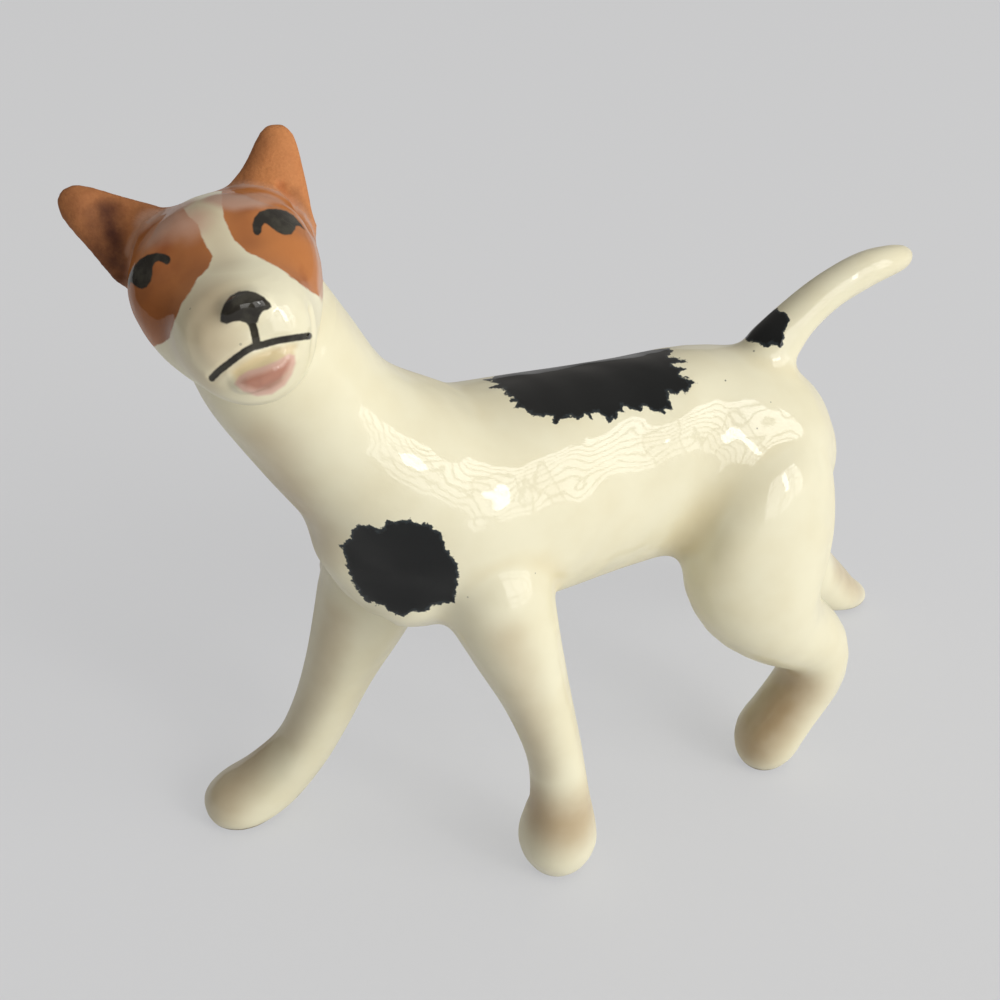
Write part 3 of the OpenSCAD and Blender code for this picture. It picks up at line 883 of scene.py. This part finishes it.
def matte_ear_clay():
    """Terracotta slip without glaze, worn paler on its edges, with painted shade in its folds and hollows
    and a milky band at its root that is partly a painted reflection.
    """
    finish = Finish("matte_ear_clay")
    mottle = finish.noise(2.2, 5, 0.6)
    grain = finish.noise(0.35, 4, 0.6)
    # Paler on the edges as wear, darker in the folds as painted shade
    shade = finish.sum(finish.coat("hollow"), mottle, 0.6)
    colour = finish.mix(finish.ramp(shade, 0.1, 0.8), EAR_CLAY_WORN, EAR_CLAY)
    colour = finish.mix(finish.ramp(grain, 0.3, 0.75, 0, 0.25), colour, BROWN_PAINT_THICK)
    # Painted shade in the ears' hollows and on the shaded right ear
    dark = finish.times(finish.coat("painted_ear_shade"), finish.ramp(mottle, 0.2, 0.7, 0.7, 1.0))
    colour = finish.mix(dark, colour, EAR_SHADOW)
    # Milky glaze edge at the ear's root, partly a painted reflection
    band_and_sheen = finish.ramp(finish.sum(finish.coat("ear_band_and_sheen"), mottle, 0.3), 0.35, 1.0, 0, 0.6)
    colour = finish.mix(band_and_sheen, colour, EAR_EDGE_AND_SHEEN)
    waves = finish.bump(mottle, 0.25)
    tooth = finish.bump(grain, 0.05, waves)
    finish.set(Base_Color=colour, Roughness=0.72, IOR=1.4, Normal=tooth)
    return finish.material


def floor_paper():
    """Pale paper, which the camera and the glaze see partly as an even grey."""
    finish = Finish("floor_paper")
    fibre = finish.noise(1.2, 4)
    colour = finish.mix(finish.ramp(fibre, 0.3, 0.7, 0, 0.03), FLOOR_WHITE, CREAM)
    finish.set(Base_Color=colour, Roughness=0.9, IOR=1.3)
    path = finish.add("ShaderNodeLightPath")
    watched = finish.times(path.outputs["Is Camera Ray"], WATCHED_GLOW)
    watched = finish.sum(watched, path.outputs["Is Glossy Ray"], MIRRORED_GLOW)
    glow = finish.add("ShaderNodeEmission", {"Color": FLOOR_GREY, "Strength": 1.0})
    both = finish.add("ShaderNodeMixShader", {0: watched, 1: finish.shader.outputs[0], 2: glow.outputs[0]})
    finish.tree.links.new(both.outputs[0], finish.tree.nodes["Material Output"].inputs["Surface"])
    return finish.material


# The slatted window, in degrees, metres and watts, dimmer towards its sill
WINDOW_AZIMUTH = 29
WINDOW_HEIGHT = 17
WINDOW_DISTANCE = 2.2
WINDOW_AIM = Vector((0, 0, 0.05))
WINDOW_W = 2.1
WINDOW_H = 1.85
COLUMN_SHARES = (0.8, 0.75, 0.9)
COLUMN_WIDTHS = (0.35, 0.30, 0.35)
SLATS = 9
SLAT_GAP = 0.05
SILL_SHARE = 0.75
WINDOW_POWER = 44

# The open pane in it, as shares of the window's width and height from its middle
PANE_ACROSS = -0.06
PANE_UP = 0.16
PANE_SIZE = (0.34, 0.8)
PANE_POWER = 8.0
PANE_FORWARD = 0.05
DAYLIGHT = (1.0, 0.985, 0.95)

# The room's own light: its levels away from and towards the bright side of the ceiling. It rises from
# a little below the level of the figure.
ROOM_LIGHT = (0.09, 0.52)
ROOM_COLOUR = (1.0, 0.95, 0.89, 1)
BRIGHT_SIDE = Vector((0.5, 0.0, 0.87))
RISE_START = -0.3

FLOOR_M = 6

# The castings with finer quads, and the distances from the paint's edges for finer ones still
FINE_NODES = ("head", "nose", "lower_lip", "ear_left", "ear_right")
EDGE_REACHES = (1.0, 0.5)


def glazed_figure():
    """Makes the skin, models and paints it, and makes one piece of it for each node."""
    figure, trees = luted_figure()
    points, quads = mesh_arrays(figure)
    bpy.data.objects.remove(figure)
    skin = Skin(smooth(points, quads, 40), quads)
    for form in BODY_FORMS:
        skin.push(*form)
        skin.measure()
    names, distances = split_into_castings(skin, trees)
    columns = list(SLOTS)
    skin.fill(slip_shares(distances), 90)
    fine = np.isin(names, [columns.index(node) for node in FINE_NODES])
    names, distances = skin.cut_finer(fine, names, distances)
    face = np.zeros(len(skin.points), bool)
    face[skin.quads[-4 * fine.sum():]] = True
    for middle, ends in skin.splits:
        face[middle] = False
        face[ends] = False
    skin.points = smooth(skin.points, skin.quads, 4, held=~face)
    skin.measure()
    for form in FACE_FORMS:
        skin.push(*form)
    skin.draw_in(cad_box)
    for reach in EDGE_REACHES:
        edge = np.abs(black_patches(skin)) < reach
        names, distances = skin.cut_finer(edge[skin.quads].any(1), names, distances)
    coats = painted(skin, distances)
    coats["hollow"] = hollows(skin)
    near_face = distances[:, [columns.index(node) for node in FINE_NODES]].min(1)
    coats["flow"] = 0.2 + 0.8 * np.clip(near_face / 4 - 0.2, 0, 1)
    shading = skin.even_normals(np.clip(near_face / 3 - 0.2, 0, 1), 40)
    coats["vent"] = open_vent(skin)
    skin.points[:, 2] = np.maximum(skin.points[:, 2], 0)
    specks = [(skin.under([place])[0][0], radius, strength) for place, radius, strength in SPECKS]
    glaze = glazed_earthenware(specks)
    clay = matte_ear_clay()
    for column, node in enumerate(columns):
        own = skin.quads[names == column]
        casting_piece(node, skin, own, coats, shading, clay if node.startswith("ear") else glaze)


def one_sided(quads):
    """The points on sides that only one quad has."""
    sides = np.sort(np.concatenate([quads[:, [i, (i + 1) % 4]] for i in range(4)]), 1)
    edges, times = np.unique(sides, axis=0, return_counts=True)
    return np.unique(edges[times == 1])


def hollows(skin):
    """How far each point lies in a hollow, from 0 to 1, where the glaze pools and shade is painted in."""
    edges, count = neighbourhood(skin.quads, len(skin.points))
    even = skin.points
    for _ in range(30):
        even = neighbour_mean(even, edges, count)
    depth = np.einsum("ij,ij->i", even - skin.points, skin.normals)
    return np.clip(depth / 0.5, 0, 1)


def open_vent(skin):
    """Sinks the vent under the belly, and says where it is painted dark, as the shade inside the open
    hole.
    """
    off = np.hypot(skin.points[:, 0] - VENT_X, skin.points[:, 1] - MIDDLE_Y)
    under = (skin.points[:, 2] < VENT_Z + 6) & (skin.points[:, 2] > VENT_Z - 12)
    share = np.where(under, np.clip((VENT_R - off) / VENT_LIP, 0, 1), 0)
    skin.points[:, 2] += VENT_SINK * share
    return share


def lamp(name, place, size, colour, strength, aim):
    """An oblong soft lamp at a place in metres, turned to its aim, of a width and height in metres."""
    data = bpy.data.lights.new(name, "AREA")
    data.shape = "RECTANGLE"
    data.size, data.size_y = size
    data.color = colour
    data.energy = strength
    source = bpy.data.objects.new(name, data)
    place = Vector(place)
    facing = (place - Vector(aim)).to_track_quat("Z", "Y")
    source.matrix_world = Matrix.Translation(place) @ facing.to_matrix().to_4x4()
    bpy.context.scene.collection.objects.link(source)


def sky_way(azimuth, height):
    """The way to a lamp from its azimuth and height in degrees."""
    azimuth, height = radians(azimuth), radians(height)
    return Vector((cos(height) * sin(azimuth), -cos(height) * cos(azimuth), sin(height)))


def window():
    """A big slatted window low on the right in front, with one open pane."""
    way = sky_way(WINDOW_AZIMUTH, WINDOW_HEIGHT)
    centre = WINDOW_AIM + way * WINDOW_DISTANCE
    azimuth = radians(WINDOW_AZIMUTH)
    across = Vector((cos(azimuth), sin(azimuth), 0))
    rise = way.cross(across)
    left = -0.5
    for strength, width in zip(COLUMN_SHARES, COLUMN_WIDTHS):
        for slat in range(SLATS):
            up = (slat + 0.5) / SLATS
            place = centre + across * WINDOW_W * (left + width / 2) + rise * WINDOW_H * (up - 0.5)
            size = WINDOW_W * width - SLAT_GAP, WINDOW_H / SLATS - SLAT_GAP
            power = WINDOW_POWER * strength * width / SLATS * (SILL_SHARE + 2 * (1 - SILL_SHARE) * up)
            lamp("window_slat", place, size, DAYLIGHT, power, place - way)
        left += width
    place = centre - way * PANE_FORWARD + across * WINDOW_W * PANE_ACROSS + rise * WINDOW_H * PANE_UP
    lamp("window_pane", place, PANE_SIZE, DAYLIGHT, PANE_POWER, place - way)


def light_the_studio():
    """The window, and a pale room that is lighter overhead and on the right."""
    world = bpy.data.worlds.new("studio")
    world.use_nodes = True
    tree = world.node_tree
    room = tree.nodes["Background"]
    room.inputs["Color"].default_value = ROOM_COLOUR
    place = tree.nodes.new("ShaderNodeTexCoord")
    nearness = tree.nodes.new("ShaderNodeVectorMath")
    nearness.operation = "DOT_PRODUCT"
    nearness.inputs[1].default_value = BRIGHT_SIDE
    level = tree.nodes.new("ShaderNodeMapRange")
    level.inputs["From Min"].default_value = RISE_START
    level.inputs["To Min"].default_value, level.inputs["To Max"].default_value = ROOM_LIGHT
    tree.links.new(place.outputs["Generated"], nearness.inputs[0])
    tree.links.new(nearness.outputs["Value"], level.inputs["Value"])
    tree.links.new(level.outputs[0], room.inputs["Strength"])
    wall = tree.nodes.new("ShaderNodeBackground")
    wall.inputs["Color"].default_value = FLOOR_GREY
    path = tree.nodes.new("ShaderNodeLightPath")
    both = tree.nodes.new("ShaderNodeMixShader")
    tree.links.new(path.outputs["Is Camera Ray"], both.inputs[0])
    tree.links.new(room.outputs[0], both.inputs[1])
    tree.links.new(wall.outputs[0], both.inputs[2])
    tree.links.new(both.outputs[0], tree.nodes["World Output"].inputs["Surface"])
    bpy.context.scene.world = world
    window()


def lay_the_floor():
    """A plain pale floor under the soles."""
    bpy.ops.mesh.primitive_plane_add(size=FLOOR_M, location=(0, 0, 0))
    floor = bpy.context.object
    floor.name = "floor"
    floor.data.materials.append(floor_paper())


set_camera()
glazed_figure()
lay_the_floor()
light_the_studio()
bpy.context.scene.view_settings.view_transform = "Standard"
